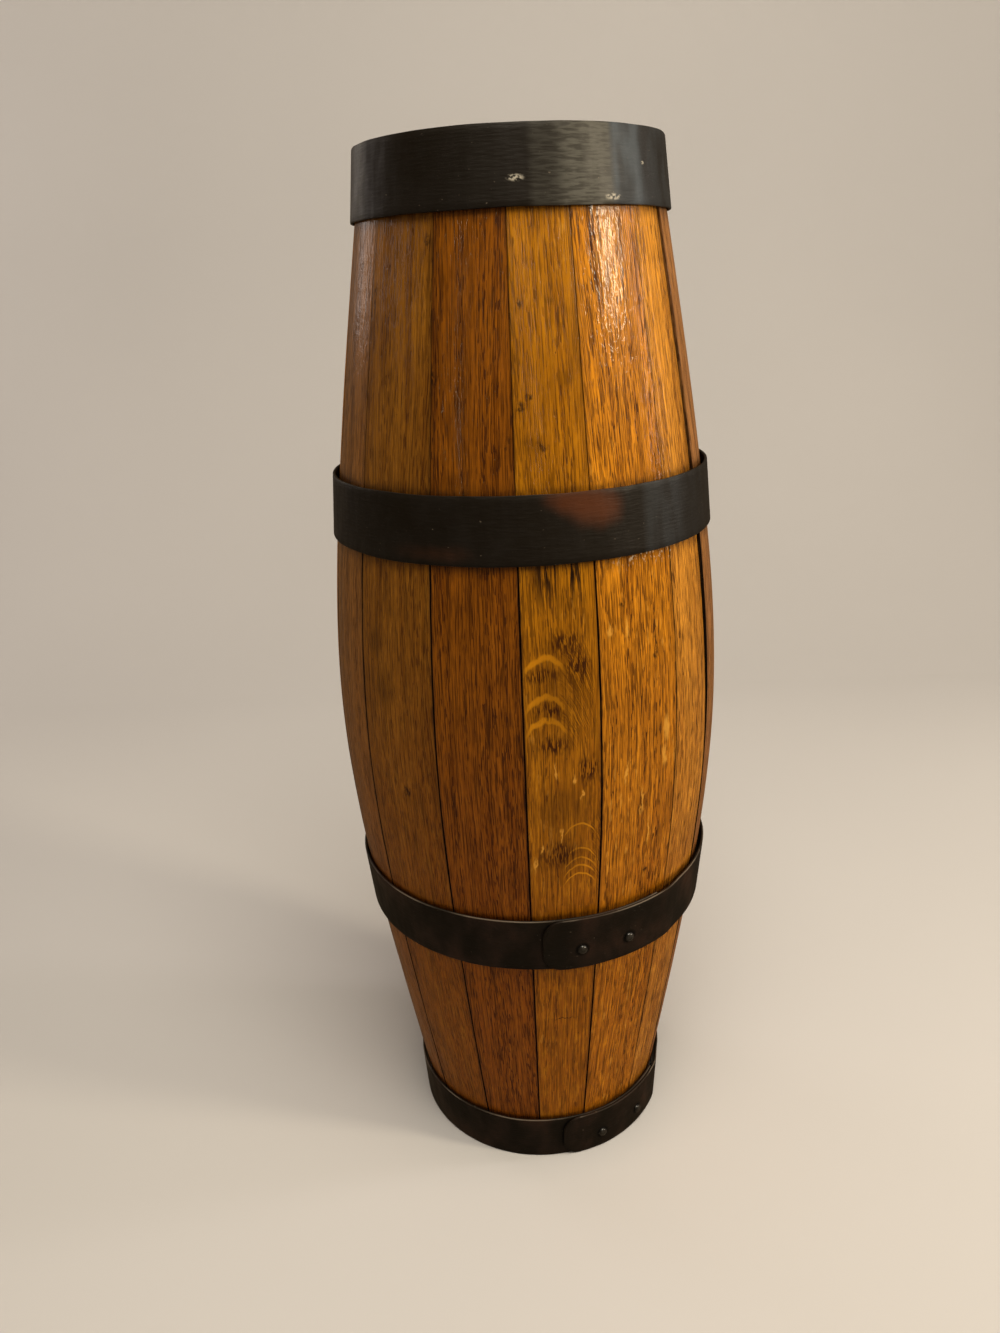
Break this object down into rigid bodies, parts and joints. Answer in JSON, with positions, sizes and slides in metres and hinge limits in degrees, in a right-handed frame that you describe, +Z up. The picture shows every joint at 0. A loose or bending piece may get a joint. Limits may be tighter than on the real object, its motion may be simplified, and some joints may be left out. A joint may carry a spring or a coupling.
{
  "type": "oak wine barrel",
  "caption": "Slender free-standing oak cask of bent staves bound by riveted iron hoops, with a doweled board head in each end and a pull-out bung in the belly.",
  "frame": {"origin": "on the floor at the barrel's axis, under the ends of the staves", "axes": "+Z up along the barrel's axis; -Y is the front that the picture shows; +Y runs out through the bung; +X is to the right seen from the front"},
  "size_m": [0.2513, 0.2564, 0.66],
  "materials": {
    "varnished_oak_golden": "varnished golden oak, satin to gloss",
    "varnished_oak_russet": "varnished reddish oak, satin to gloss",
    "varnished_oak_brown": "varnished grey-brown oak, satin",
    "sawn_oak_head": "planed oak, thin satin varnish",
    "turned_dowel_wood": "bare turned wood",
    "turned_bung_wood": "bare turned wood",
    "black_painted_iron": "satin black paint over hoop iron, worn at the edges"
  },
  "bodies": {
    "cask": {"stave_01": "varnished_oak_brown", "stave_02": "varnished_oak_russet", "stave_03": "varnished_oak_golden", "stave_04": "varnished_oak_golden", "stave_05": "varnished_oak_russet", "stave_06": "varnished_oak_brown", "stave_07": "varnished_oak_russet", "stave_08": "varnished_oak_golden", "stave_09": "varnished_oak_golden", "bung_stave": "varnished_oak_russet", "stave_11": "varnished_oak_brown", "stave_12": "varnished_oak_russet", "stave_13": "varnished_oak_golden", "stave_14": "varnished_oak_golden", "stave_15": "varnished_oak_russet", "bottom_chime_hoop": "black_painted_iron", "lower_bilge_hoop": "black_painted_iron", "upper_bilge_hoop": "black_painted_iron", "top_chime_hoop": "black_painted_iron", "bottom_chime_hoop_rivet_1": "black_painted_iron", "bottom_chime_hoop_rivet_2": "black_painted_iron", "lower_bilge_hoop_rivet_1": "black_painted_iron", "lower_bilge_hoop_rivet_2": "black_painted_iron", "upper_bilge_hoop_rivet_1": "black_painted_iron", "upper_bilge_hoop_rivet_2": "black_painted_iron", "top_chime_hoop_rivet_1": "black_painted_iron", "top_chime_hoop_rivet_2": "black_painted_iron", "bottom_head_front_board": "sawn_oak_head", "bottom_head_middle_board": "sawn_oak_head", "bottom_head_back_board": "sawn_oak_head", "top_head_front_board": "sawn_oak_head", "top_head_middle_board": "sawn_oak_head", "top_head_back_board": "sawn_oak_head", "bottom_head_front_left_dowel": "turned_dowel_wood", "bottom_head_front_right_dowel": "turned_dowel_wood", "bottom_head_back_left_dowel": "turned_dowel_wood", "bottom_head_back_right_dowel": "turned_dowel_wood", "top_head_front_left_dowel": "turned_dowel_wood", "top_head_front_right_dowel": "turned_dowel_wood", "top_head_back_left_dowel": "turned_dowel_wood", "top_head_back_right_dowel": "turned_dowel_wood"},
    "bung": {"bung": "turned_bung_wood"}
  },
  "joints": [
    {"name": "bung_pull", "type": "slide", "parent": "cask", "child": "bung", "axis": [0, 1, 0], "range_m": [0, 0.045]}
  ]
}
